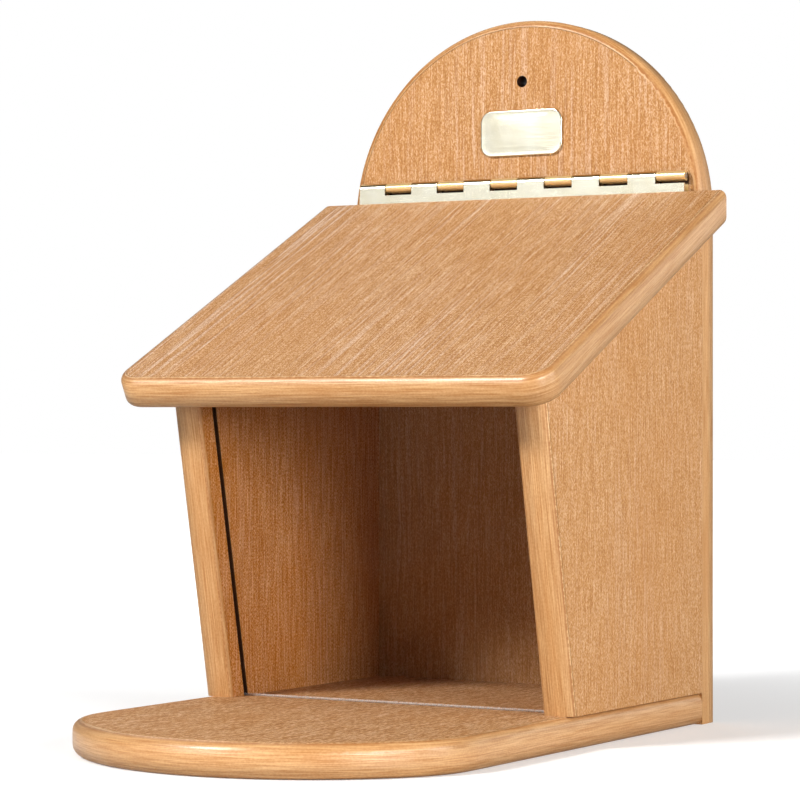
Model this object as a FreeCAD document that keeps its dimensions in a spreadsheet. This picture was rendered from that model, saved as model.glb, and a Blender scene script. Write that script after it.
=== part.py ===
"""Squirrel feeder box: an open-fronted seed box on a rounded tray, with a hinged sloping roof.

Half-inch boards make the box: an arched back board, two side panels, a floor tray that runs out
in front, and a roof board. A clear window stands in grooves in the side panels, and a continuous
brass hinge joins the roof to the back board.

All sizes are in millimetres and degrees. +Z is up, the back board is at +Y and the tray's round
front at -Y. The origin is the bottom centre of the whole box's extent. Each piece is drawn with its
Y counted from the back board's front face, which lies at Y = BACK_FACE in the finished part.
"""
import FreeCAD, Part
import math
import os
import Sketcher

SIZES = {
    # Boards
    "board": 12.7,  # thickness of every board
    "width": 164.0,  # outside width of the box, back board and tray
    "edge_round": 3.2,  # roundover of the roof's arrises and the upright boards' outer ones
    "inner_round": 2.0,  # roundover of the side panels' inner front arrises
    # Back board
    "back_height": 287.5,
    "hang_hole": 4.6,  # diameter of the hanging hole
    "hang_drop": 25.3,  # hanging hole below the top of the arch
    # Side panels
    "panel_foot": 112.0,  # depth of a side panel at the tray
    "front_lean": 11.2,  # forward lean of a side panel's front edge
    "window_setback": 8.6,  # front edge to window groove
    "groove_depth": 4.0,
    # Tray
    "tray_reach": 248.0,
    "nose_ratio": 1.1,  # radius of the tray's front over half the width
    "corner_ratio": 0.585,  # radius that joins the front to the straight sides, over half the width
    "tray_round": 4.0,  # roundover of the tray's arrises
    # Roof
    "eaves": 12.75,  # roof's overhang at each side
    "roof_length": 172.2,  # along the slope, at the top face
    "roof_slope": 26.25,
    "roof_drop": 74.0,  # roof's rear top arris below the top of the arch
    "roof_corner": 11.0,  # plan radius of the two front corners
    "lid_gap": 0.2,  # roof's underside above the side panels
    # Window
    "window_thick": 2.4,
    "window_fit": 0.2,  # clearance round the window in its grooves
    # Hinge
    "knuckle": 12.7,  # pitch of the knuckles
    "hinge_margin": 5.0,  # least width left free at each end of the hinge
    "knuckle_gap": 0.3,
    "notch_gap": 1.0,  # room in each leaf under the other leaf's knuckles
    "hinge_leaf": 16.9,  # pin centre to the leaf's free edge
    "leaf_thick": 0.9,
    "pin_thick": 2.35,
    "pin_fit": 0.05,  # radial clearance of the pin
    "barrel_clear": 0.15,  # barrel clear of the boards that the leaves lie on
    "pin_rise": 6.6,  # pin above the roof's rear top arris
    # Badge
    "badge_width": 38.1,
    "badge_height": 19.0,
    "badge_thick": 1.2,
    "badge_corner": 5.0,
    "badge_edge": 0.4,  # roundover of its front arris
    "badge_rise": 46.6,  # badge centre below the top of the arch
    "pad_inset": 1.5,
    "pad_thick": 0.3,
    # Board screws
    "screw_head": 7.0,
    "screw_shank": 3.5,
    "screw_length": 35.0,
    "screw_tip": 5.0,
    "screw_fit": 0.06,  # clearance of a screw in its hole
    "screw_drive": 3.8,  # span of the cross recess in a head
    "screw_web": 0.9,  # width of its arms
    "screw_deep": 1.3,
    "head_land": 0.2,  # flat between a head and the boards' roundover
    "rear_screw_count": 3,  # screws through the back board into each side panel
    "rear_screw_low": 45.0,  # height of the lowest of them
    "rear_screw_high": 36.0,  # highest of them below the side panel's top
    "floor_screw_count": 3,
    "floor_screw_pitch": 50.0,  # screws through the back board into the tray
    "foot_screw_back": 28.0,  # rear screw up through the tray, from the back board
    "foot_screw_pitch": 58.0,
    # Hinge screws
    "hinge_screw_head": 5.0,
    "hinge_screw_shank": 2.6,
    "hinge_screw_tip": 2.5,
    "hinge_screw_drive": 2.6,
    "hinge_screw_web": 0.6,
    "hinge_screw_deep": 0.4,
    "hinge_screw_length": 9.5,
    "hinge_screw_count": 3,
    "hinge_screw_pitch": 50.8,
    "hinge_screw_drop": 13.0,  # screw line below the pin
}

# Places that several pieces share, as expressions of the sheet
BACK_FACE = "(Sizes.tray_reach - Sizes.board) / 2"
ARCH_CENTRE = "(Sizes.back_height - Sizes.width / 2)"
PANEL_INNER = "(Sizes.width / 2 - Sizes.board)"
ROOF_TOP = "(Sizes.back_height - Sizes.roof_drop)"
BARREL = "(Sizes.pin_thick / 2 + Sizes.pin_fit + Sizes.leaf_thick)"
PIN_HEIGHT = "(" + ROOF_TOP + " + Sizes.pin_rise)"
PIN_OUT = "(" + BARREL + " + Sizes.barrel_clear)"
ROOF_REAR = "(2 * " + PIN_OUT + ")"
KNUCKLE_PAIRS = "floor((Sizes.width - 2 * Sizes.hinge_margin) / (2 * Sizes.knuckle))"
HINGE_LENGTH = "(2 * " + KNUCKLE_PAIRS + " * Sizes.knuckle)"
TAN_SLOPE = "tan(Sizes.roof_slope)"
TAN_LEAN = "tan(Sizes.front_lean)"
# Height of the side panels' top edges, carried back to the back board's face
PANEL_TOP = (
    "(" + ROOF_TOP + " - (Sizes.board + Sizes.lid_gap) / cos(Sizes.roof_slope)"
    " + " + ROOF_REAR + " * " + TAN_SLOPE + ")"
)
# Front face of the window where it stands on the tray
WINDOW_FOOT = "(-Sizes.panel_foot + (Sizes.window_setback + Sizes.window_fit) / cos(Sizes.front_lean))"

doc = FreeCAD.newDocument("squirrel_feeder")
sheet = doc.addObject("Spreadsheet::Sheet", "Sizes")
for row, (alias, number) in enumerate(SIZES.items(), start=1):
    sheet.set("A%d" % row, alias)
    sheet.set("B%d" % row, str(number))
    sheet.setAlias("B%d" % row, alias)
doc.recompute()

PARTS = []
TINY = 0.001
# Which point of a sketch's line or arc a constraint holds
START, END, CENTRE = 1, 2, 3


def size(alias):
    """Present value of one cell of the sheet."""
    return float(sheet.get(alias))


def finish_part(part, label):
    """Names a sub-part and lists it for export."""
    part.Label = label
    PARTS.append(part)
    return part


def place(part, across="0", back="0", up="0", tilt=0):
    """Puts a piece at a place counted from the back board's face, turned about X by a tilt in degrees."""
    part.Placement = FreeCAD.Placement(FreeCAD.Vector(), FreeCAD.Rotation(FreeCAD.Vector(1, 0, 0), tilt))
    part.setExpression("Placement.Base.x", across)
    part.setExpression("Placement.Base.y", BACK_FACE + " + " + back)
    part.setExpression("Placement.Base.z", up)


def new_body(name):
    return doc.addObject("PartDesign::Body", name)


def origin_feature(body, role):
    return [feature for feature in body.Origin.OriginFeatures if feature.Role == role][0]


def new_sketch(body, name, plane, lift=None):
    """A sketch on one of the body's own origin planes, lifted along its normal if asked."""
    sketch = body.newObject("Sketcher::SketchObject", name)
    sketch.AttachmentSupport = [(origin_feature(body, plane), "")]
    sketch.MapMode = "FlatFace"
    if lift:
        sketch.setExpression("AttachmentOffset.Base.z", lift)
    return sketch


def bind(sketch, constraint, expression):
    """Adds a constraint whose size is a sheet expression."""
    index = sketch.addConstraint(constraint)
    sketch.setExpression("Constraints[%d]" % index, expression)


def pin_point(sketch, geometry, corner, across, up):
    """Fixes one point of a sketch to sheet expressions."""
    bind(sketch, Sketcher.Constraint("DistanceX", -1, START, geometry, corner, 1.0), across)
    bind(sketch, Sketcher.Constraint("DistanceY", -1, START, geometry, corner, 1.0), up)


def draw_polygon(sketch, points):
    """A closed outline of straight lines through points given as pairs of expressions."""
    count = len(points)
    starts = [FreeCAD.Vector(i, i * i, 0) for i in range(count)]
    for i in range(count):
        sketch.addGeometry(Part.LineSegment(starts[i], starts[(i + 1) % count]), False)
    for i in range(count):
        sketch.addConstraint(Sketcher.Constraint("Coincident", i, END, (i + 1) % count, START))
        pin_point(sketch, i, START, *points[i])


def draw_rectangle(sketch, left, right, low, high):
    draw_polygon(sketch, [(left, low), (right, low), (right, high), (left, high)])


def draw_circle(sketch, radius, across="0", up="0"):
    circle = sketch.addGeometry(Part.Circle(FreeCAD.Vector(), FreeCAD.Vector(0, 0, 1), 1.0), False)
    pin_point(sketch, circle, CENTRE, across, up)
    bind(sketch, Sketcher.Constraint("Radius", circle, 1.0), radius)


def add_pad(body, name, sketch, length, backward=False, both=False):
    """A solid from a sketch, along its normal, against it or half each way."""
    pad = body.newObject("PartDesign::Pad", name)
    pad.Profile = sketch
    pad.setExpression("Length", length)
    pad.Reversed = backward
    pad.SideType = "Symmetric" if both else "One side"
    return pad


def add_pocket(body, name, sketch, depth=None, forward=False):
    """A cut against the sketch's normal, or along it, to a depth, or right through both ways."""
    pocket = body.newObject("PartDesign::Pocket", name)
    pocket.Profile = sketch
    if depth:
        pocket.setExpression("Length", depth)
        pocket.Reversed = forward
    else:
        pocket.SideType = "Symmetric"
        pocket.Type = "ThroughAll"
    return pocket


def add_pattern(body, name, features, count, pitch, along="X_Axis"):
    """Copies features along one of the body's own axes."""
    pattern = body.newObject("PartDesign::LinearPattern", name)
    pattern.Originals = features
    pattern.Direction = (origin_feature(body, along), [""])
    pattern.Mode = "Spacing"
    pattern.setExpression("Offset", pitch)
    pattern.setExpression("Occurrences", count)
    body.Tip = pattern


def round_edges(body, name, base, radius, wanted):
    """Rounds the edges of a feature whose sample points pass a test."""
    doc.recompute()
    names = []
    for index, edge in enumerate(base.Shape.Edges, start=1):
        if wanted(edge.discretize(5)):
            names.append("Edge%d" % index)
    fillet = body.newObject("PartDesign::Fillet", name)
    fillet.Base = (base, names)
    fillet.setExpression("Radius", radius)
    return fillet


def level(points, axis, height):
    """True if all the points lie at one height along an axis."""
    return all(abs(point[axis] - height) < TINY for point in points)


def cut_out(piece, tools, label):
    """Cuts holes or a recess, given as solids, out of a piece."""
    for tool in tools:
        cut = doc.addObject("Part::Cut", label + "_cut")
        cut.Base = piece
        cut.Tool = tool
        piece = cut
    return piece


def make_screws(name, kind, count, pitch, along, **where):
    """A row of countersunk screws and, apart from them, the holes that they fill.

    A screw's head is flush with its body's XY plane and its tip points along +Z. The row starts at
    the given place and runs along one of the body's axes.
    """
    head = "Sizes.%s_head / 2" % kind
    shank = "Sizes.%s_shank / 2" % kind
    length = "Sizes.%s_length" % kind
    made = []
    for suffix, spare in (("", "0"), ("_holes", "Sizes.screw_fit")):
        body = new_body(name + suffix)
        body.AllowCompound = True
        profile = new_sketch(body, name + suffix + "_profile", "XZ_Plane")
        draw_polygon(profile, [
            ("0", "0"),
            (head + " + " + spare, "0"),
            (shank + " + " + spare, head + " - " + shank),
            (shank + " + " + spare, length + " - Sizes.%s_tip" % kind),
            ("0", length + " + " + spare),
        ])
        turned = body.newObject("PartDesign::Revolution", name + suffix + "_turned")
        turned.Profile = profile
        turned.ReferenceAxis = (profile, ["V_Axis"])
        turned.Angle = 360.0
        features = [turned]
        if not suffix:
            drive = new_sketch(body, name + "_drive", "XY_Plane")
            reach = "Sizes.%s_drive / 2" % kind
            web = "Sizes.%s_web / 2" % kind
            quarter = [(web, reach), (web, web), (reach, web)]
            right = quarter + [(across, "-" + up) for across, up in reversed(quarter)]
            draw_polygon(drive, right + [("-" + across, up) for across, up in reversed(right)])
            features.append(add_pocket(body, name + "_recess", drive, "Sizes.%s_deep" % kind, forward=True))
        add_pattern(body, name + suffix + "_row", features, count, pitch, along)
        place(body, **where)
        made.append(body)
    finish_part(made[0], name)
    return made[1]


# Screws, and the holes that they need

rear_screw_pitch = (
    "(" + PANEL_TOP + " - Sizes.rear_screw_low - Sizes.rear_screw_high) / (Sizes.rear_screw_count - 1)"
)
panel_holes = {}
for hand, side in (("left", "-"), ("right", "")):
    line = side + "(Sizes.width / 2 - Sizes.tray_round - Sizes.head_land - Sizes.screw_head / 2)"
    panel_holes[hand] = [
        make_screws("rear_screws_" + hand, "screw", "Sizes.rear_screw_count", rear_screw_pitch,
                    "Y_Axis", across=line, back="Sizes.board", up="Sizes.rear_screw_low", tilt=90),
        make_screws("foot_screws_" + hand, "screw", "2", "Sizes.foot_screw_pitch", "Y_Axis",
                    across=line, back="(-Sizes.foot_screw_back - Sizes.foot_screw_pitch)"),
    ]
floor_holes = make_screws(
    "floor_screws", "screw", "Sizes.floor_screw_count", "Sizes.floor_screw_pitch", "X_Axis",
    across="-Sizes.floor_screw_pitch * (Sizes.floor_screw_count - 1) / 2",
    back="Sizes.board", up="Sizes.board / 2", tilt=90)
leaf_holes = {}
leaf_faces = {"roof": ("(Sizes.leaf_thick - " + ROOF_REAR + ")", 90), "back": ("(-Sizes.leaf_thick)", -90)}
for leaf, (face, tilt) in leaf_faces.items():
    leaf_holes[leaf] = make_screws(
        "hinge_screws_" + leaf, "hinge_screw", "Sizes.hinge_screw_count", "Sizes.hinge_screw_pitch",
        "X_Axis", across="-Sizes.hinge_screw_pitch * (Sizes.hinge_screw_count - 1) / 2",
        back=face, up=PIN_HEIGHT + " - Sizes.hinge_screw_drop", tilt=tilt)

# Back board: an arch rounded front and rear, on straight sides that stay square in front,
# where the side panels butt against them

back = new_body("back")
arch_sketch = new_sketch(back, "arch", "XZ_Plane")
draw_circle(arch_sketch, "Sizes.width / 2", up=ARCH_CENTRE)
arch = add_pad(back, "arch_disc", arch_sketch, "Sizes.board", backward=True)
round_edges(back, "arch_front_round", arch, "Sizes.edge_round", lambda p: level(p, 1, 0))
stem_sketch = new_sketch(back, "stem", "XZ_Plane")
draw_rectangle(stem_sketch, "-Sizes.width / 2", "Sizes.width / 2", "0", ARCH_CENTRE)
stem = add_pad(back, "stem_board", stem_sketch, "Sizes.board", backward=True)
hang_sketch = new_sketch(back, "hanging_hole", "XZ_Plane")
draw_circle(hang_sketch, "Sizes.hang_hole / 2", up="Sizes.back_height - Sizes.hang_drop")
hang = add_pocket(back, "hanging_bore", hang_sketch)


def rear_outline(points):
    """True on the outer arris of the rear face, but not at its foot or at the hanging hole."""
    outer = max(abs(point.x) for point in points) > size("hang_hole")
    return level(points, 1, size("board")) and outer and not level(points, 2, 0)


round_edges(back, "rear_round", hang, "Sizes.edge_round", rear_outline)
place(back)
back_holes = [panel_holes["left"][0], panel_holes["right"][0], floor_holes, leaf_holes["back"]]
finish_part(cut_out(back, back_holes, "back"), "back_board")

# Side panels: the inner face is the body's YZ plane


def make_side_panel(side):
    """The left panel for side -1 and the right one for side 1."""
    name = "left" if side < 0 else "right"
    panel = new_body(name)
    outline = new_sketch(panel, name + "_outline", "YZ_Plane")
    front_rise = (
        "((" + PANEL_TOP + " - " + TAN_SLOPE + " * (Sizes.panel_foot - " + TAN_LEAN + " * Sizes.board))"
        " / (1 + " + TAN_SLOPE + " * " + TAN_LEAN + "))"
    )
    draw_polygon(outline, [
        ("0", "Sizes.board"),
        ("0", PANEL_TOP),
        ("-Sizes.panel_foot - (" + front_rise + " - Sizes.board) * " + TAN_LEAN, front_rise),
        ("-Sizes.panel_foot", "Sizes.board"),
    ])
    board = add_pad(panel, name + "_board", outline, "Sizes.board", backward=side < 0)

    def front_edge(points, depth):
        foot = [p for p in points if level([p], 2, size("board")) and level([p], 1, -size("panel_foot"))]
        return foot and level(points, 0, side * depth) and not level(points, 2, size("board"))

    outer = round_edges(panel, name + "_outer_round", board, "Sizes.edge_round",
                        lambda points: front_edge(points, size("board")))
    inner = round_edges(panel, name + "_inner_round", outer, "Sizes.inner_round",
                        lambda points: front_edge(points, 0))
    groove = new_sketch(panel, name + "_groove", "YZ_Plane")
    lip = "Sizes.window_setback"
    heel = "Sizes.window_setback + Sizes.window_thick + 2 * Sizes.window_fit"
    corners = []
    for depth, height in ((lip, "0"), (lip, ROOF_TOP), (heel, ROOF_TOP), (heel, "0")):
        edge = "-Sizes.panel_foot - (%s - Sizes.board) * %s" % (height, TAN_LEAN)
        corners.append(("%s + (%s) / cos(Sizes.front_lean)" % (edge, depth), height))
    draw_polygon(groove, corners)
    add_pocket(panel, name + "_window_groove", groove, "Sizes.groove_depth", forward=side > 0)
    place(panel, across=("-" if side < 0 else "") + PANEL_INNER)
    finish_part(cut_out(panel, panel_holes[name], name), name + "_side_panel")


for hand in (-1, 1):
    make_side_panel(hand)

# Floor tray: straight sides, two corner arcs and a front arc that run into each other

tray = new_body("tray")
tray_sketch = new_sketch(tray, "tray_outline", "XY_Plane")
half = size("width") / 2
nose = size("nose_ratio") * half
corner = size("corner_ratio") * half
nose_y = nose - size("tray_reach")
corner_x = half - corner
corner_y = nose_y - ((nose - corner) ** 2 - corner_x ** 2) ** 0.5
upright = FreeCAD.Vector(0, 0, 1)
join = FreeCAD.Vector(corner_x, corner_y - nose_y, 0)
join_angle = FreeCAD.Vector(1, 0, 0).getAngle(join)
right_corner = Part.Circle(FreeCAD.Vector(corner_x, corner_y, 0), upright, corner)
left_corner = Part.Circle(FreeCAD.Vector(-corner_x, corner_y, 0), upright, corner)
front = Part.Circle(FreeCAD.Vector(0, nose_y, 0), upright, nose)
tray_sketch.addGeometry([
    Part.LineSegment(FreeCAD.Vector(half, 0, 0), FreeCAD.Vector(-half, 0, 0)),
    Part.LineSegment(FreeCAD.Vector(-half, 0, 0), FreeCAD.Vector(-half, corner_y, 0)),
    Part.ArcOfCircle(left_corner, math.pi, math.pi + join_angle),
    Part.ArcOfCircle(front, math.pi + join_angle, 2 * math.pi - join_angle),
    Part.ArcOfCircle(right_corner, 2 * math.pi - join_angle, 2 * math.pi),
    Part.LineSegment(FreeCAD.Vector(half, corner_y, 0), FreeCAD.Vector(half, 0, 0)),
], False)
rear_line, left_line, left_arc, nose_arc, right_arc, right_line = range(6)
for first, second in ((rear_line, left_line), (right_line, rear_line)):
    tray_sketch.addConstraint(Sketcher.Constraint("Coincident", first, END, second, START))
for first in (left_line, left_arc, nose_arc, right_arc):
    tray_sketch.addConstraint(Sketcher.Constraint("Tangent", first, END, first + 1, START))
for side_line in (left_line, right_line):
    tray_sketch.addConstraint(Sketcher.Constraint("Vertical", side_line))
nose_radius = "Sizes.nose_ratio * Sizes.width / 2"
pin_point(tray_sketch, rear_line, START, "Sizes.width / 2", "0")
pin_point(tray_sketch, rear_line, END, "-Sizes.width / 2", "0")
pin_point(tray_sketch, nose_arc, CENTRE, "0", nose_radius + " - Sizes.tray_reach")
bind(tray_sketch, Sketcher.Constraint("Radius", nose_arc, nose), nose_radius)
for arc in (left_arc, right_arc):
    bind(tray_sketch, Sketcher.Constraint("Radius", arc, corner), "Sizes.corner_ratio * Sizes.width / 2")
slab = add_pad(tray, "tray_slab", tray_sketch, "Sizes.board")


def tray_arris(points):
    flat = level(points, 2, 0) or level(points, 2, size("board"))
    return flat and not level(points, 1, 0)


round_edges(tray, "tray_arrises", slab, "Sizes.tray_round", tray_arris)
place(tray)
tray_holes = [panel_holes["left"][1], panel_holes["right"][1], floor_holes]
finish_part(cut_out(tray, tray_holes, "tray"), "floor_tray")

# Roof: a board on the slope, its rear end cut upright against the hinge

roof = new_body("roof")
roof_sketch = new_sketch(roof, "roof_profile", "YZ_Plane")
front_y = "-" + ROOF_REAR + " - Sizes.roof_length * cos(Sizes.roof_slope)"
front_z = ROOF_TOP + " - Sizes.roof_length * sin(Sizes.roof_slope)"
draw_polygon(roof_sketch, [
    ("-" + ROOF_REAR, ROOF_TOP),
    (front_y, front_z),
    (front_y + " + Sizes.board * sin(Sizes.roof_slope)", front_z + " - Sizes.board * cos(Sizes.roof_slope)"),
    ("-" + ROOF_REAR, ROOF_TOP + " - Sizes.board / cos(Sizes.roof_slope)"),
])
roof_board = add_pad(roof, "roof_board", roof_sketch, "Sizes.width + 2 * Sizes.eaves", both=True)
doc.recompute()
roof_rear = -roof_board.Shape.BoundBox.YMax
slope = FreeCAD.Rotation(FreeCAD.Vector(1, 0, 0), size("roof_slope"))
roof_normal = slope.multVec(FreeCAD.Vector(0, 0, 1))
down_slope = slope.multVec(FreeCAD.Vector(0, -1, 0))


def roof_depth(points):
    """Each point's depth below the roof's top face, and its run down the slope from the rear arris."""
    start = FreeCAD.Vector(0, -roof_rear, size("back_height") - size("roof_drop"))
    return [((start - point).dot(roof_normal), (point - start).dot(down_slope)) for point in points]


def front_corner(points):
    """True on the two upright arrises at the roof's front."""
    measured = roof_depth(points)
    at_front = all(abs(run - size("roof_length")) < TINY for _, run in measured)
    return at_front and abs(measured[0][0] - measured[-1][0]) > TINY


def roof_arris(points):
    """True round the top and bottom faces, but not along the rear end."""
    depths = [depth for depth, _ in roof_depth(points)]
    top = all(abs(depth) < TINY for depth in depths)
    bottom = all(abs(depth - size("board")) < TINY for depth in depths)
    return (top or bottom) and not level(points, 1, -roof_rear)


roof_corners = round_edges(roof, "roof_corners", roof_board, "Sizes.roof_corner", front_corner)
round_edges(roof, "roof_round", roof_corners, "Sizes.edge_round", roof_arris)
place(roof)
finish_part(cut_out(roof, [leaf_holes["roof"]], "roof"), "roof_lid")

# Window: a clear sheet that stands on the tray, square cut, and leans with the panels

window = new_body("window")
pane_sketch = new_sketch(window, "pane", "XZ_Plane")
window_rise = (
    "((" + PANEL_TOP + " + " + WINDOW_FOOT + " * " + TAN_SLOPE + " - Sizes.board)"
    " / (cos(Sizes.front_lean) + sin(Sizes.front_lean) * " + TAN_SLOPE + ") - Sizes.window_fit)"
)
pane_half = "(" + PANEL_INNER + " + Sizes.groove_depth - Sizes.window_fit)"
draw_rectangle(pane_sketch, "-" + pane_half, pane_half, "0", window_rise)
add_pad(window, "pane_sheet", pane_sketch, "Sizes.window_thick", backward=True)
place(window, back=WINDOW_FOOT, up="Sizes.board")
window.setExpression("Placement.Rotation.Axis.x", "1")
window.setExpression("Placement.Rotation.Axis.z", "0")
window.setExpression("Placement.Rotation.Angle", "Sizes.front_lean")
finish_part(window, "front_window")

# Hinge: two leaves with alternating knuckles on one pin, closed, with the pin on the bodies' X axis


def make_leaf(carries, side, first_knuckle):
    """The leaf in front for side -1, which the roof hangs on, and the rear one for side 1."""
    name = carries + "_leaf"
    leaf = new_body(name)
    faces = ["%d * %s" % (side, PIN_OUT), "%d * (%s - Sizes.leaf_thick)" % (side, PIN_OUT)]
    notch = "-(" + BARREL + " + Sizes.notch_gap)"
    plate_sketch = new_sketch(leaf, name + "_plate", "YZ_Plane")
    draw_rectangle(plate_sketch, *faces, "-Sizes.hinge_leaf", notch)
    add_pad(leaf, name + "_flat", plate_sketch, HINGE_LENGTH, both=True)
    start = "(%d * Sizes.knuckle - %s / 2 + Sizes.knuckle_gap / 2)" % (first_knuckle, HINGE_LENGTH)
    strip_sketch = new_sketch(leaf, name + "_strip", "YZ_Plane", lift=start)
    draw_rectangle(strip_sketch, *faces, "-Sizes.hinge_leaf / 2", "0")
    width = "Sizes.knuckle - Sizes.knuckle_gap"
    strip = add_pad(leaf, name + "_tab", strip_sketch, width)
    ring_sketch = new_sketch(leaf, name + "_ring", "YZ_Plane", lift=start)
    draw_circle(ring_sketch, BARREL)
    ring = add_pad(leaf, name + "_knuckle", ring_sketch, width)
    add_pattern(leaf, name + "_knuckles", [strip, ring], KNUCKLE_PAIRS, "2 * Sizes.knuckle")
    bore_sketch = new_sketch(leaf, name + "_bore", "YZ_Plane")
    draw_circle(bore_sketch, "Sizes.pin_thick / 2 + Sizes.pin_fit")
    add_pocket(leaf, name + "_pin_bore", bore_sketch)
    place(leaf, back="(-" + PIN_OUT + ")", up=PIN_HEIGHT)
    finish_part(cut_out(leaf, [leaf_holes[carries]], name), "hinge_leaf_" + carries)


make_leaf("roof", -1, 0)
make_leaf("back", 1, 1)

pin = new_body("pin")
pin_sketch = new_sketch(pin, "pin_section", "YZ_Plane")
draw_circle(pin_sketch, "Sizes.pin_thick / 2")
add_pad(pin, "pin_rod", pin_sketch, HINGE_LENGTH + " - Sizes.knuckle_gap", both=True)
place(pin, back="(-" + PIN_OUT + ")", up=PIN_HEIGHT)
finish_part(pin, "hinge_pin")

# Badge: a blank plate on an adhesive pad


def make_plate(name, inset, thick, behind):
    """A plate of the badge's outline or smaller, held off the back board by what lies behind it."""
    plate = new_body(name)
    sketch = new_sketch(plate, name + "_outline", "XZ_Plane")
    across = "(Sizes.badge_width / 2 - %s)" % inset
    up = "(Sizes.badge_height / 2 - %s)" % inset
    draw_rectangle(sketch, "-" + across, across, "-" + up, up)
    blank = add_pad(plate, name + "_blank", sketch, thick)
    round_edges(plate, name + "_corners", blank, "Sizes.badge_corner - " + inset,
                lambda points: abs(points[0].y - points[-1].y) > TINY)
    place(plate, back="(-" + behind + ")", up="Sizes.back_height - Sizes.badge_rise")
    return plate


finish_part(make_plate("adhesive", "Sizes.pad_inset", "Sizes.pad_thick", "0"), "badge_pad")
badge = make_plate("badge", "0", "Sizes.badge_thick", "Sizes.pad_thick")
round_edges(badge, "badge_front_round", badge.Tip, "Sizes.badge_edge",
            lambda points: level(points, 1, -size("badge_thick")))
finish_part(badge, "badge_plate")

# Every object has to be sound before anything is written

doc.recompute()
for item in doc.Objects:
    if "Invalid" in item.State or "Error" in item.State:
        raise RuntimeError("%s did not build: %s" % (item.Label, item.State))
for part in PARTS:
    if part.Shape.isNull() or not part.Shape.isValid():
        raise RuntimeError("%s has no valid shape" % part.Label)

os.makedirs("parts", exist_ok=True)
for part in PARTS:
    part.Shape.exportStep("parts/%s.step" % part.Label)
    box = part.Shape.BoundBox
    print("%-20s %d solids, %.1f mm3, X %.2f..%.2f Y %.2f..%.2f Z %.2f..%.2f" % (
        part.Label, len(part.Shape.Solids), part.Shape.Volume,
        box.XMin, box.XMax, box.YMin, box.YMax, box.ZMin, box.ZMax))
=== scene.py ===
"""Squirrel feeder box: the finish of its pieces, with a pale floor, soft studio light and the camera."""

import math

import bmesh
import bpy
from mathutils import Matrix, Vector


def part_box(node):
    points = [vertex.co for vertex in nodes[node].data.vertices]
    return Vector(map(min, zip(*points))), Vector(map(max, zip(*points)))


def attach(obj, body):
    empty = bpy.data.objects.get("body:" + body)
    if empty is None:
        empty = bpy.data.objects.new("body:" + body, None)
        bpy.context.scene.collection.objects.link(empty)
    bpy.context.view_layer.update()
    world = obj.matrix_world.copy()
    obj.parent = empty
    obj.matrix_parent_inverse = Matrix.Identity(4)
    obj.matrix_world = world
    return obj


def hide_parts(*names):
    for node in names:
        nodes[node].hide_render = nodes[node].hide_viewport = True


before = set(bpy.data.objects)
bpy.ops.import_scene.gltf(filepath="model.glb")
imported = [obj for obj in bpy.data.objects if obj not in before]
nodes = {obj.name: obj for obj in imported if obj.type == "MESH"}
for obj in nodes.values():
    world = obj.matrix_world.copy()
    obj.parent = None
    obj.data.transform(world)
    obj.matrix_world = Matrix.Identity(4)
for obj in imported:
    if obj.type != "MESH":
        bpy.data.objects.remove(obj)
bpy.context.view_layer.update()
MM = 0.001

# Directions of the boards: the grain's and the thickness's
UP = Vector((0, 0, 1))
BACK = Vector((0, 1, 0))
RIGHT = Vector((1, 0, 0))
ROOF_SLOPE = math.radians(26.25)
ROOF_NORMAL = Vector((0, -math.sin(ROOF_SLOPE), math.cos(ROOF_SLOPE)))
UP_SLOPE = Vector((0, math.cos(ROOF_SLOPE), math.sin(ROOF_SLOPE)))
FRONT_LEAN = math.radians(11.2)
WINDOW_NORMAL = Vector((0, math.cos(FRONT_LEAN), math.sin(FRONT_LEAN)))

# Places on the boards
WINDOW_LEVELS = [vertex.co.dot(WINDOW_NORMAL) for vertex in nodes["front_window"].data.vertices]
WINDOW_FIT = 0.2 * MM
GROOVE_FRONT = min(WINDOW_LEVELS) - WINDOW_FIT
GROOVE_REAR = max(WINDOW_LEVELS) + WINDOW_FIT
GROOVE_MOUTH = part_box("right_side_panel")[0][0]
GROOVE_FOOT = GROOVE_MOUTH + 4.0 * MM
HOLE_HEIGHT = 262.2 * MM
HOLE_RADIUS = 2.3 * MM
PIN_BACK = (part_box("hinge_pin")[0][1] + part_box("hinge_pin")[1][1]) / 2
PIN_HEIGHT = (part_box("hinge_pin")[0][2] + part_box("hinge_pin")[1][2]) / 2


# Materials


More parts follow.
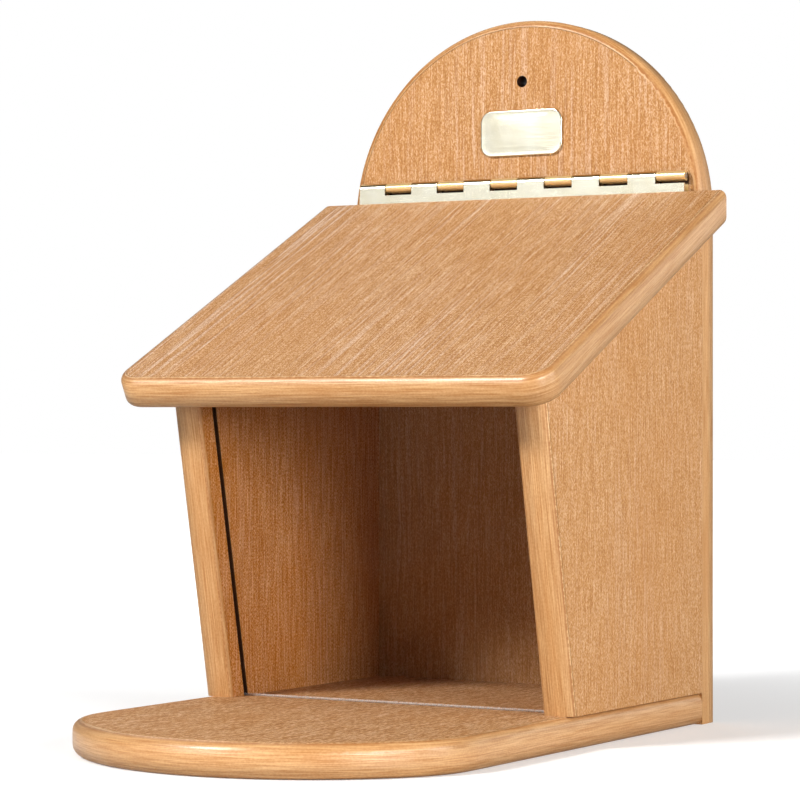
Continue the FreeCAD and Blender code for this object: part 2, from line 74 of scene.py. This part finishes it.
class Paint:
    """One procedural material under a principled shader, with short ways to add its nodes."""

    def __init__(self, name, **sockets):
        self.material = bpy.data.materials.new(name)
        self.material.use_nodes = True
        self.tree = self.material.node_tree
        self.shader = self.tree.nodes["Principled BSDF"]
        for socket, value in sockets.items():
            self.shader.inputs[socket.replace("_", " ").title().replace("Ior", "IOR")].default_value = value
        self.place = self.node("ShaderNodeTexCoord").outputs

    def node(self, kind, inputs=(), **settings):
        """A node whose inputs are given in order, each a value, a socket or None to leave it."""
        node = self.tree.nodes.new(kind)
        for name, value in settings.items():
            setattr(node, name, value)
        for socket, value in zip(node.inputs, inputs):
            if isinstance(value, bpy.types.NodeSocket):
                self.tree.links.new(value, socket)
            elif value is not None:
                socket.default_value = value
        return node

    def math(self, operation, *values):
        return self.node("ShaderNodeMath", values, operation=operation).outputs[0]

    def span(self, value, low, high, to_low=0.0, to_high=1.0, smooth=False):
        """Value mapped from one span of numbers to another and held to it."""
        kind = "SMOOTHSTEP" if smooth else "LINEAR"
        inputs = (value, low, high, to_low, to_high)
        return self.node("ShaderNodeMapRange", inputs, interpolation_type=kind).outputs[0]

    def dot(self, vector, direction):
        node = self.node("ShaderNodeVectorMath", (vector, direction), operation="DOT_PRODUCT")
        return node.outputs["Value"]

    def place_in_mm(self):
        """The place on the piece, in millimetres."""
        return self.stretch(self.place["Object"], (MM, MM, MM))

    def join(self, across, along, through):
        return self.node("ShaderNodeCombineXYZ", (across, along, through)).outputs[0]

    def noise(self, vector, scale=1.0, detail=2.0, roughness=0.5):
        node = self.node("ShaderNodeTexNoise")
        self.tree.links.new(vector, node.inputs["Vector"])
        node.inputs["Scale"].default_value = scale
        node.inputs["Detail"].default_value = detail
        node.inputs["Roughness"].default_value = roughness
        return node.outputs["Fac"]

    def stretch(self, vector, size):
        """The vector in cells of a size given for each of its directions."""
        cells = tuple(1 / length for length in size)
        return self.node("ShaderNodeVectorMath", (vector, cells), operation="MULTIPLY").outputs[0]

    def cells(self, place, size, detail=2.0, roughness=0.5):
        """Noise in cells of a size, over a place given by its three parts."""
        return self.noise(self.stretch(self.join(*place), size), detail=detail, roughness=roughness)

    def blend(self, share, first, second):
        node = self.node("ShaderNodeMix", data_type="RGBA")
        for index, value in ((0, share), (6, first), (7, second)):
            if isinstance(value, bpy.types.NodeSocket):
                self.tree.links.new(value, node.inputs[index])
            else:
                node.inputs[index].default_value = value
        return node.outputs[2]

    def mix(self, share, first, second):
        node = self.node("ShaderNodeMix", data_type="FLOAT")
        for index, value in ((0, share), (2, first), (3, second)):
            self.tree.links.new(value, node.inputs[index])
        return node.outputs[0]

    def feed(self, socket, value):
        self.tree.links.new(value, self.shader.inputs[socket])

    def bump(self, height, depth):
        """Raises the surface by the height field times a depth in metres."""
        node = self.node("ShaderNodeBump")
        node.inputs["Distance"].default_value = depth
        self.tree.links.new(height, node.inputs["Height"])
        self.feed("Normal", node.outputs[0])


def rgb(red, green, blue):
    return (red, green, blue, 1.0)


# Colours of the boards: their pressed faces, pale grain lines partly painted sheen with painted shade
# beside them, milled edges, torn arrises with painted shade on their roundovers, clouds, and painted shade
# in the cuts
TAN = rgb(0.45, 0.236, 0.085)
DARK_FLECK = rgb(0.32, 0.145, 0.047)
LIGHT_FLECK = rgb(0.62, 0.42, 0.27)
GRAIN_LINE_AND_SHEEN = rgb(0.65, 0.49, 0.39)
LINE_SHADE = rgb(0.32, 0.155, 0.080)
EDGE_DEEP = rgb(0.38, 0.180, 0.060)
EDGE_PALE = rgb(0.58, 0.36, 0.175)
TORN_PALE = rgb(0.70, 0.48, 0.28)
TORN_DEEP_AND_SHADE = rgb(0.30, 0.115, 0.030)
CLOUD = rgb(0.42, 0.19, 0.054)
CUT_SHADE = rgb(0.040, 0.014, 0.006)

# Height of the grain in millimetres and slope of the crown across the milled edges
GRAIN_DEPTH = 0.42
CROWN_SLOPE = 0.36

# Painted bounce light on the faces inside the box: their hue, richness and value against those outside
INNER_BOUNCE_HUE = 0.494
INNER_BOUNCE_RICHNESS = 1.13
INNER_BOUNCE_VALUE = 1.12


def pressed_face(paint, place, offset, streaks, line, lean, flecked, dash):
    """Colour, height and pale lines of a face with short flecks, fibres and groups of grain lines. The pale
    lines' colour is partly painted sheen, and the shade beside them is painted.
    """
    u, v, w = place
    sway = paint.cells(place, (30.0, 90.0, 60.0), detail=1.0)
    wavy = paint.math("MULTIPLY_ADD", sway, 4.0, u)
    flecks = paint.cells((wavy, v, w), (0.34, dash, 5.0), detail=1.0, roughness=0.6)
    fibres = paint.cells((wavy, v, w), (0.50, 16.0, 16.0), detail=1.5)
    skin = paint.math("MULTIPLY_ADD", flecks, 0.62, paint.math("MULTIPLY", fibres, 0.38))
    dark = paint.span(skin, 0.50, 0.37, 0.0, 0.80 * flecked)
    light = paint.span(skin, 0.50, 0.64, 0.0, 0.80 * flecked)
    colour = paint.blend(dark, TAN, DARK_FLECK)
    colour = paint.blend(light, colour, LIGHT_FLECK)

    # A pale grain line is where its noise is high, its colour partly painted sheen off the raised line, and
    # its painted shade is where that noise is, a step to the side
    line_size = (1.7, line, line)
    aside = paint.math("ADD", wavy, 0.6)
    pale_line = paint.cells((wavy, v, w), line_size, detail=1.5, roughness=0.4)
    beside = paint.cells((aside, v, w), line_size, detail=1.5, roughness=0.4)
    group = paint.cells(place, (34.0, 170.0, 60.0), detail=1.0)
    group = paint.math("MULTIPLY_ADD", paint.math("SUBTRACT", u, offset), -lean, group)
    group = paint.span(group, 0.42, 0.60, 0.45, 1.15)
    pale_line = paint.math("MULTIPLY", paint.span(pale_line, 0.53, 0.61), group)
    beside = paint.math("MULTIPLY", paint.span(beside, 0.53, 0.61), group)
    beside = paint.math("SUBTRACT", beside, pale_line)
    strength = paint.span(skin, 0.40, 0.60, 0.15 * streaks, 0.65 * streaks)
    colour = paint.blend(paint.math("MULTIPLY", pale_line, strength), colour, GRAIN_LINE_AND_SHEEN)
    colour = paint.blend(paint.span(beside, 0.2, 1.0, 0.0, 0.35 * streaks), colour, LINE_SHADE)
    return colour, skin, pale_line


def milled_edge(paint, place):
    """Colour and height of an edge with fine lines that run along it, parallel to the faces."""
    cut_lines = paint.cells(place, (16.0, 16.0, 0.42))
    band = paint.cells(place, (60.0, 60.0, 2.1))
    mottle = paint.cells(place, (0.9, 0.9, 0.6), detail=1.0)
    milled = paint.math("MULTIPLY_ADD", cut_lines, 0.65, paint.math("MULTIPLY", band, 0.15))
    milled = paint.math("MULTIPLY_ADD", mottle, 0.20, milled)
    return paint.blend(paint.span(milled, 0.36, 0.64), EDGE_DEEP, EDGE_PALE), milled


def torn_arris_and_shade(paint, colour, place, arris, nicks):
    """The colour with the pale line where the cutter tore the pressed skin, and a dark band beside it,
    partly torn skin and partly painted shade on the roundover.
    """
    tear = paint.cells(place, (1.4, 1.4, 1.4))
    wobble = paint.math("MULTIPLY_ADD", tear, 0.05, arris)
    pale = paint.math("MULTIPLY", paint.span(wobble, 0.960, 0.975), paint.span(wobble, 1.018, 1.008))
    pale = paint.math("MULTIPLY", pale, paint.span(tear, 0.46, 0.60, 0.0, nicks))
    # Painted shade: the dark band reaches from the arris onto the roundover, where it is partly torn skin
    # and partly painted shade
    deep = paint.math("MULTIPLY", paint.span(wobble, 0.80, 0.93), paint.span(wobble, 0.978, 0.960))
    deep = paint.math("MULTIPLY", deep, paint.span(tear, 0.60, 0.40, 0.35, 0.80))
    colour = paint.blend(pale, colour, TORN_PALE)
    return paint.blend(deep, colour, TORN_DEEP_AND_SHADE)


def lumber(node, along, through, offset, value=1.0, streaks=1.0, line=60.0, lean=0.0, flecked=1.0,
           dash=0.9, gloss=0.9, nicks=0.7, inner=None, cut=None):
    """Recycled plastic board: wood grain pressed into its two faces, milled edges smoother.

    along and through are the directions of the grain and of the thickness. offset, in
    millimetres, makes each board's grain its own, and value how light it is. streaks is how
    strongly its pale grain lines show, their colour partly painted sheen, line their length in
    millimetres and lean how much they gain towards the board's left, for each millimetre. flecked
    is how strongly the short flecks between them show and dash their length. gloss is the shine of
    its edges, nicks how bright the torn spots on its arrises are, inner the normal of its face
    inside the box, which gets painted bounce light, and cut a function that marks where a groove
    or hole is cut into the board, where painted shade goes.
    """
    paint = Paint("lumber_" + node, ior=1.5, specular_ior_level=0.25, coat_roughness=0.32)
    normal = paint.place["Normal"]
    parts = [paint.dot(paint.place["Object"], axis) for axis in (along.cross(through), along, through)]
    u, v, w = [paint.math("DIVIDE", part, MM) for part in parts]
    place = (paint.math("ADD", u, offset), v, w)
    level = paint.math("ABSOLUTE", paint.dot(normal, through))
    on_face = paint.span(level, 0.985, 0.9965)

    face, skin, pale_line = pressed_face(paint, place, offset, streaks, line, lean, flecked, dash)
    edge, milled = milled_edge(paint, place)
    colour = paint.blend(on_face, edge, face)
    hue, rich, arris = 0.5, 1.0, level
    # Painted bounce light: faces inside the box get a redder hue and a richer, lighter tone
    if inner:
        inside = paint.dot(normal, inner)
        arris = paint.math("ADD", level, paint.span(inside, 0.0, 0.05, 0.0, 0.40))
        hue = paint.span(inside, 0.9, 1.0, 0.5, INNER_BOUNCE_HUE)
        rich = paint.span(inside, 0.9, 1.0, 1.0, INNER_BOUNCE_RICHNESS)
        value = paint.span(inside, 0.9, 1.0, value, value * INNER_BOUNCE_VALUE)
    colour = torn_arris_and_shade(paint, colour, place, arris, nicks)
    cloud = paint.cells(place, (38.0, 90.0, 60.0))
    colour = paint.blend(paint.span(cloud, 0.40, 0.70, 0.0, 0.22), colour, CLOUD)
    # Painted shade in the groove and the hanging hole
    if cut:
        colour = paint.blend(cut(paint), colour, CUT_SHADE)
    toned = paint.node("ShaderNodeHueSaturation", (hue, rich, value, None, colour))
    paint.feed("Base Color", toned.outputs[0])

    rough = paint.span(skin, 0.38, 0.62, 0.66, 0.50)
    rough = paint.math("MULTIPLY_ADD", pale_line, -0.12 * streaks, rough)
    rough = paint.mix(on_face, paint.span(milled, 0.40, 0.60, 0.44, 0.36), rough)
    paint.feed("Roughness", rough)
    shine = paint.span(paint.dot(normal, UP), -0.6, 0.0, 0.2 * gloss, gloss)
    paint.feed("Coat Weight", paint.math("MULTIPLY", shine, paint.span(on_face, 0.0, 1.0, 1.0, 0.0)))

    # The edge is crowned: its surface leans outwards to both sides of the middle
    levels = [vertex.co.dot(through) / MM for vertex in nodes[node].data.vertices]
    middle = (max(levels) + min(levels)) / 2
    half = (max(levels) - min(levels)) / 2
    crown = paint.math("MULTIPLY", paint.math("SUBTRACT", w, middle), math.pi / half)
    crown = paint.math("MULTIPLY", paint.math("COSINE", crown), CROWN_SLOPE * half / math.pi / GRAIN_DEPTH)
    crown = paint.math("MULTIPLY_ADD", milled, 0.25, crown)
    grain = paint.math("MULTIPLY_ADD", pale_line, 0.30 * streaks, skin)
    paint.bump(paint.mix(on_face, crown, grain), GRAIN_DEPTH * MM)
    return paint.material


def hole_shade(paint):
    """Painted shade on the wall of the hanging hole."""
    across = paint.dot(paint.place["Object"], RIGHT)
    up = paint.math("SUBTRACT", paint.dot(paint.place["Object"], UP), HOLE_HEIGHT)
    squares = paint.math("ADD", paint.math("POWER", across, 2.0), paint.math("POWER", up, 2.0))
    reach = paint.math("SQRT", squares)
    return paint.span(reach, HOLE_RADIUS + 0.10 * MM, HOLE_RADIUS + 0.02 * MM)


def groove_shade(paint):
    """Painted shade on the walls and foot of the groove that holds the window, with a little room round
    them.
    """
    depth = paint.math("ABSOLUTE", paint.dot(paint.place["Object"], RIGHT))
    past_mouth = paint.span(depth, GROOVE_MOUTH + 0.05 * MM, GROOVE_MOUTH + 0.25 * MM)
    to_foot = paint.span(depth, GROOVE_FOOT + 1.0 * MM, GROOVE_FOOT + 0.5 * MM)
    back = paint.dot(paint.place["Object"], WINDOW_NORMAL)
    past_front = paint.span(back, GROOVE_FRONT - 0.4 * MM, GROOVE_FRONT - 0.3 * MM)
    to_rear = paint.span(back, GROOVE_REAR + 0.5 * MM, GROOVE_REAR + 0.4 * MM)
    deep = paint.math("MULTIPLY", past_mouth, to_foot)
    return paint.math("MULTIPLY", deep, paint.math("MULTIPLY", past_front, to_rear))


def brass(name, deep, pale, upturn_reflection=None, metal=1.0, knuckle_shade=False):
    """Satin brass, clouded between two tones.

    The tone given for where the surface turns up is a painted darker reflection there, metal is how
    metallic the brass is, and the last flag gives painted shade in the gap behind the knuckles.
    """
    paint = Paint(name, metallic=metal)
    place = paint.place_in_mm()
    cloud = paint.noise(place, scale=0.12, detail=3.0)
    drawn = paint.noise(paint.stretch(place, (12.0, 0.35, 0.35)), detail=2.0)
    colour = paint.blend(paint.span(cloud, 0.3, 0.7), deep, pale)
    # Painted reflection: surfaces that turn up are darkened towards the given tone
    if upturn_reflection:
        turned = paint.dot(paint.place["Normal"], UP)
        colour = paint.blend(paint.span(turned, 0.35, 0.65), colour, upturn_reflection)
    # Painted shade in the narrow gap behind the knuckles, below the pin
    if knuckle_shade:
        back = paint.dot(paint.place["Object"], BACK)
        back = paint.span(back, PIN_BACK + 1.0 * MM, PIN_BACK + 1.3 * MM)
        high = paint.dot(paint.place["Object"], UP)
        high = paint.span(high, PIN_HEIGHT - 3.6 * MM, PIN_HEIGHT - 3.2 * MM)
        colour = paint.blend(paint.math("MULTIPLY", back, high), colour, rgb(0.05, 0.025, 0.012))
    paint.feed("Base Color", colour)
    paint.feed("Roughness", paint.span(drawn, 0.3, 0.7, 0.19, 0.26))
    paint.bump(drawn, 0.02 * MM)
    return paint.material


def steel(name):
    paint = Paint(name, metallic=1.0)
    place = paint.place_in_mm()
    worn = paint.noise(place, scale=1.4, detail=3.0)
    paint.feed("Base Color", paint.blend(worn, rgb(0.48, 0.47, 0.44), rgb(0.68, 0.67, 0.65)))
    paint.feed("Roughness", paint.span(worn, 0.3, 0.7, 0.25, 0.45))
    paint.bump(worn, 0.02 * MM)
    return paint.material


def acrylic(name):
    paint = Paint(name, base_color=rgb(0.97, 0.985, 0.98), transmission_weight=1.0, ior=1.49)
    place = paint.place_in_mm()
    smear = paint.noise(place, scale=0.05, detail=4.0, roughness=0.6)
    paint.feed("Roughness", paint.span(smear, 0.45, 0.75, 0.03, 0.15))
    paint.feed("Alpha", paint.span(smear, 0.40, 0.75, 0.03, 0.09))
    return paint.material


def sawn_acrylic(name):
    paint = Paint(name, ior=1.49)
    place = paint.place_in_mm()
    marks = paint.noise(paint.stretch(place, (0.5, 1.5, 1.5)), detail=2.0)
    paint.feed("Base Color", paint.blend(marks, rgb(0.42, 0.41, 0.40), rgb(0.60, 0.59, 0.58)))
    paint.feed("Alpha", paint.span(marks, 0.3, 0.7, 0.30, 0.55))
    paint.feed("Roughness", paint.span(marks, 0.3, 0.7, 0.45, 0.7))
    paint.bump(marks, 0.05 * MM)
    return paint.material


def adhesive(name):
    paint = Paint(name)
    place = paint.place_in_mm()
    foam = paint.noise(place, scale=2.0)
    paint.feed("Base Color", paint.blend(foam, rgb(0.62, 0.61, 0.57), rgb(0.80, 0.79, 0.75)))
    paint.feed("Roughness", paint.span(foam, 0.3, 0.7, 0.7, 0.9))
    return paint.material


def dress(names, material):
    for name in names:
        slots = nodes[name].data.materials
        slots.clear()
        slots.append(material)


dress(["back_board"], lumber("back_board", UP, BACK, 0.0, value=0.95, streaks=0.65, flecked=1.1,
                             gloss=0.20, nicks=0.10, cut=hole_shade))
dress(["left_side_panel"], lumber("left_side_panel", UP, RIGHT, 410.0, streaks=0.35, flecked=1.7,
                                  gloss=0.4, inner=RIGHT, cut=groove_shade))
dress(["right_side_panel"], lumber("right_side_panel", UP, RIGHT, 830.0, streaks=0.25, flecked=1.1,
                                   gloss=0.4, inner=-RIGHT, cut=groove_shade))
dress(["floor_tray"], lumber("floor_tray", BACK, UP, 1270.0, value=1.10, streaks=0.2, flecked=2.4,
                             dash=2.4))
dress(["roof_lid"], lumber("roof_lid", UP_SLOPE, ROOF_NORMAL, 1690.0, value=0.98, streaks=1.0, line=130.0,
                           lean=0.0016, flecked=1.4))
BRASS = brass("brass_satin", rgb(0.82, 0.77, 0.61), rgb(0.88, 0.85, 0.72), upturn_reflection=rgb(0.60, 0.42, 0.20))
# The back leaf is a darker, warmer copy of the same brass: painted reflection of the wood and shade its
# knuckles mirror, with painted shade behind them
SHADED_BRASS = brass("brass_shaded", rgb(0.74, 0.53, 0.26), rgb(0.80, 0.60, 0.32), metal=0.6, knuckle_shade=True)
dress(["hinge_leaf_roof"], BRASS)
dress(["hinge_leaf_back"], SHADED_BRASS)
screws = [name for name in nodes if "screws" in name]
dress([name for name in screws if "hinge" in name], BRASS)
dress([name for name in screws if "hinge" not in name] + ["hinge_pin"], steel("steel_plain"))
dress(["badge_pad"], adhesive("adhesive_film"))


# Pieces of their own


def add_piece(name, shape, body, materials, replaced):
    """A piece made from a bmesh, on its body and in the place of the CAD nodes it stands for."""
    mesh = bpy.data.meshes.new(name)
    shape.to_mesh(mesh)
    shape.free()
    for material in materials:
        mesh.materials.append(material)
    piece = bpy.data.objects.new(name, mesh)
    bpy.context.scene.collection.objects.link(piece)
    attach(piece, body)
    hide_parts(*replaced)
    return piece


def make_window():
    """The clear sheet with scraped, frosted edges."""
    scrape = 0.4 * MM
    shape = bmesh.new()
    shape.from_mesh(nodes["front_window"].data)
    bmesh.ops.remove_doubles(shape, verts=shape.verts, dist=0.001 * MM)
    bmesh.ops.dissolve_limit(shape, angle_limit=math.radians(1), verts=shape.verts, edges=shape.edges)
    largest = sorted(shape.faces, key=lambda face: face.calc_area())[-2:]
    through = largest[0].normal.copy()
    bmesh.ops.bevel(shape, geom=shape.edges[:], offset=scrape, segments=1, affect="EDGES")
    for face in shape.faces:
        face.material_index = 0 if abs(face.normal.dot(through)) > 0.99 else 1
    add_piece("window_sheet", shape, "box",
              [acrylic("acrylic_clear"), sawn_acrylic("acrylic_sawn")], ["front_window"])


def make_badge():
    """A bare name plate, bowed a little from side to side, with a narrow rim round its field."""
    low, high = [Vector(corner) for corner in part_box("badge_plate")]
    centre = (low + high) / 2
    half_width = (high.x - low.x) / 2
    half_height = (high.z - low.z) / 2
    corner = 5.0 * MM
    edge_round = 0.4 * MM
    rim = 0.6 * MM
    step = 0.4 * MM
    sunk = 0.05 * MM
    bow = 0.45 * MM
    turns = 10
    round_steps = 4
    field_shares = (0.9, 0.75, 0.6, 0.45, 0.3, 0.15, 0.05)

    def outline(inset, behind, share=1.0):
        """One ring behind the plate's front, drawn in by an inset and then scaled to a share."""
        radius = max(corner - inset, 0.2 * MM)
        ring = []
        for quarter in range(4):
            side_x = 1 if quarter in (0, 3) else -1
            side_z = 1 if quarter < 2 else -1
            for turn in range(turns + 1):
                angle = math.radians(90 * (quarter + turn / turns))
                x = side_x * (half_width - inset - radius) + radius * math.cos(angle)
                z = side_z * (half_height - inset - radius) + radius * math.sin(angle)
                y = low.y + behind + bow * (x * share / half_width) ** 2
                ring.append(shape.verts.new((centre.x + x * share, min(y, high.y), centre.z + z * share)))
        return ring

    shape = bmesh.new()
    rings = [outline(0, high.y - low.y)]
    for round_step in range(round_steps):
        angle = math.radians(90 * round_step / (round_steps - 1))
        inset = edge_round * (1 - math.cos(angle))
        rings.append(outline(inset, edge_round * (1 - math.sin(angle))))
    rings.append(outline(rim, 0))
    rings.append(outline(rim + step, sunk))
    for share in field_shares:
        rings.append(outline(rim + step, sunk, share))
    for outer, inner in zip(rings, rings[1:]):
        for index in range(len(outer)):
            after = (index + 1) % len(outer)
            shape.faces.new((outer[index], outer[after], inner[after], inner[index]))
    shape.faces.new(rings[0])
    shape.faces.new(rings[-1])
    bmesh.ops.recalc_face_normals(shape, faces=shape.faces)
    for face in shape.faces:
        face.smooth = True
    badge = add_piece("badge_face", shape, "box", [BRASS], ["badge_plate"])
    badge.data.set_sharp_from_angle(angle=math.radians(40))


make_window()
make_badge()


# Stage: a pale floor, plain world and soft lights


def make_floor():
    """A pale floor that fades into the white round it, away from the box, by a painted glow that only the
    camera sees and that grows away from the box.
    """
    reach = 6.0
    below = 0.05 * MM
    glow_from, glow_to = 0.15, 0.80
    glow_near, glow_far = 0.36, 1.0
    mesh = bpy.data.meshes.new("floor")
    corners = [(-reach, -reach, 0), (reach, -reach, 0), (reach, reach, 0), (-reach, reach, 0)]
    mesh.from_pydata(corners, [], [(0, 1, 2, 3)])
    floor = bpy.data.objects.new("floor", mesh)
    bpy.context.scene.collection.objects.link(floor)
    floor.location.z = -below
    pale = rgb(0.65, 0.65, 0.65)
    paint = Paint("floor_pale", base_color=pale, roughness=0.9, emission_color=rgb(1.0, 1.0, 1.0))
    away = paint.node("ShaderNodeVectorMath", (paint.place["Object"],), operation="LENGTH")
    glow = paint.span(away.outputs["Value"], glow_from, glow_to, glow_near, glow_far, smooth=True)
    # Painted light: emission that only camera rays see
    seen = paint.node("ShaderNodeLightPath").outputs["Is Camera Ray"]
    paint.feed("Emission Strength", paint.math("MULTIPLY", glow, seen))
    mesh.materials.append(paint.material)


def add_softbox(name, azimuth, elevation, width, height, level):
    """A rectangular area light that faces the box.

    azimuth is counted from the front, to the right, in degrees, and level is how bright a
    white card that faces the light becomes.
    """
    turn = math.radians(azimuth)
    tilt = math.radians(elevation)
    way = Vector((math.sin(turn) * math.cos(tilt), -math.cos(turn) * math.cos(tilt), math.sin(tilt)))
    light = bpy.data.lights.new(name, "AREA")
    light.shape = "RECTANGLE"
    light.size = width
    light.size_y = height
    light.energy = level * (math.pi * LIGHT_DISTANCE) ** 2
    lamp = bpy.data.objects.new(name, light)
    lamp.location = LIT_POINT + way * LIGHT_DISTANCE
    lamp.rotation_euler = way.to_track_quat("Z", "Y").to_euler()
    bpy.context.scene.collection.objects.link(lamp)


def make_world():
    """White all round to the eye, and as a light brighter towards BRIGHT_SIDE than away from it."""
    world = bpy.data.worlds.new("studio")
    world.use_nodes = True
    tree = world.node_tree
    back = tree.nodes["Background"]
    back.inputs["Color"].default_value = rgb(1.0, 1.0, 1.0)
    place = tree.nodes.new("ShaderNodeTexCoord")
    toward = tree.nodes.new("ShaderNodeVectorMath")
    toward.operation = "DOT_PRODUCT"
    toward.inputs[1].default_value = BRIGHT_SIDE
    span = tree.nodes.new("ShaderNodeMapRange")
    span.interpolation_type = "SMOOTHSTEP"
    span.inputs["From Min"].default_value = WORLD_TURN[0]
    span.inputs["From Max"].default_value = WORLD_TURN[1]
    span.inputs["To Min"].default_value = WORLD_FRONT
    span.inputs["To Max"].default_value = WORLD_BACK
    rays = tree.nodes.new("ShaderNodeLightPath")
    seen = tree.nodes.new("ShaderNodeMix")
    seen.inputs[3].default_value = 1.0
    tree.links.new(place.outputs["Generated"], toward.inputs[0])
    tree.links.new(toward.outputs["Value"], span.inputs["Value"])
    tree.links.new(rays.outputs["Is Camera Ray"], seen.inputs[0])
    tree.links.new(span.outputs["Result"], seen.inputs[2])
    tree.links.new(seen.outputs[0], back.inputs["Strength"])
    bpy.context.scene.world = world


LIT_POINT = Vector((0, 0, 0.12))
LIGHT_DISTANCE = 2.0
BRIGHT_SIDE = (-0.45, 0.62, 0.64)
WORLD_TURN = (-0.2, 0.9)
WORLD_FRONT = 0.07
WORLD_BACK = 0.19
make_floor()
make_world()
add_softbox("key", -24.0, 34.0, 0.45, 0.45, 1.05)
add_softbox("front_left", -27.0, 17.0, 0.9, 1.3, 0.076)
add_softbox("front_strip", -32.0, 26.0, 0.5, 0.45, 0.16)
add_softbox("fill_right", 59.0, 9.0, 0.62, 0.62, 0.78)
add_softbox("side_right", 98.0, 15.0, 0.8, 0.8, 0.47)
add_softbox("back_right", 150.0, 12.0, 1.2, 0.6, 0.08)
add_softbox("behind", -135.0, 45.0, 1.0, 1.0, 0.10)


# Camera: level, at the photograph's distance and side

CAMERA_PLACE = (0.5905, -0.97235, 0.12531)
CAMERA_TURN = math.radians(30.784)
CAMERA_LENS = 134.44
CAMERA_RISE = 0.0146


def add_camera():
    """A camera that looks level, with its lens shifted up instead of tilted."""
    data = bpy.data.cameras.new("camera")
    data.sensor_width = 36.0
    data.lens = CAMERA_LENS
    data.shift_y = CAMERA_RISE
    camera = bpy.data.objects.new("camera", data)
    camera.location = CAMERA_PLACE
    camera.rotation_euler = (math.pi / 2, 0, CAMERA_TURN)
    bpy.context.scene.collection.objects.link(camera)
    bpy.context.scene.camera = camera


add_camera()
bpy.context.scene.view_settings.view_transform = "Standard"
bpy.context.scene.view_settings.exposure = 0.0
bpy.context.scene.view_settings.gamma = 0.89
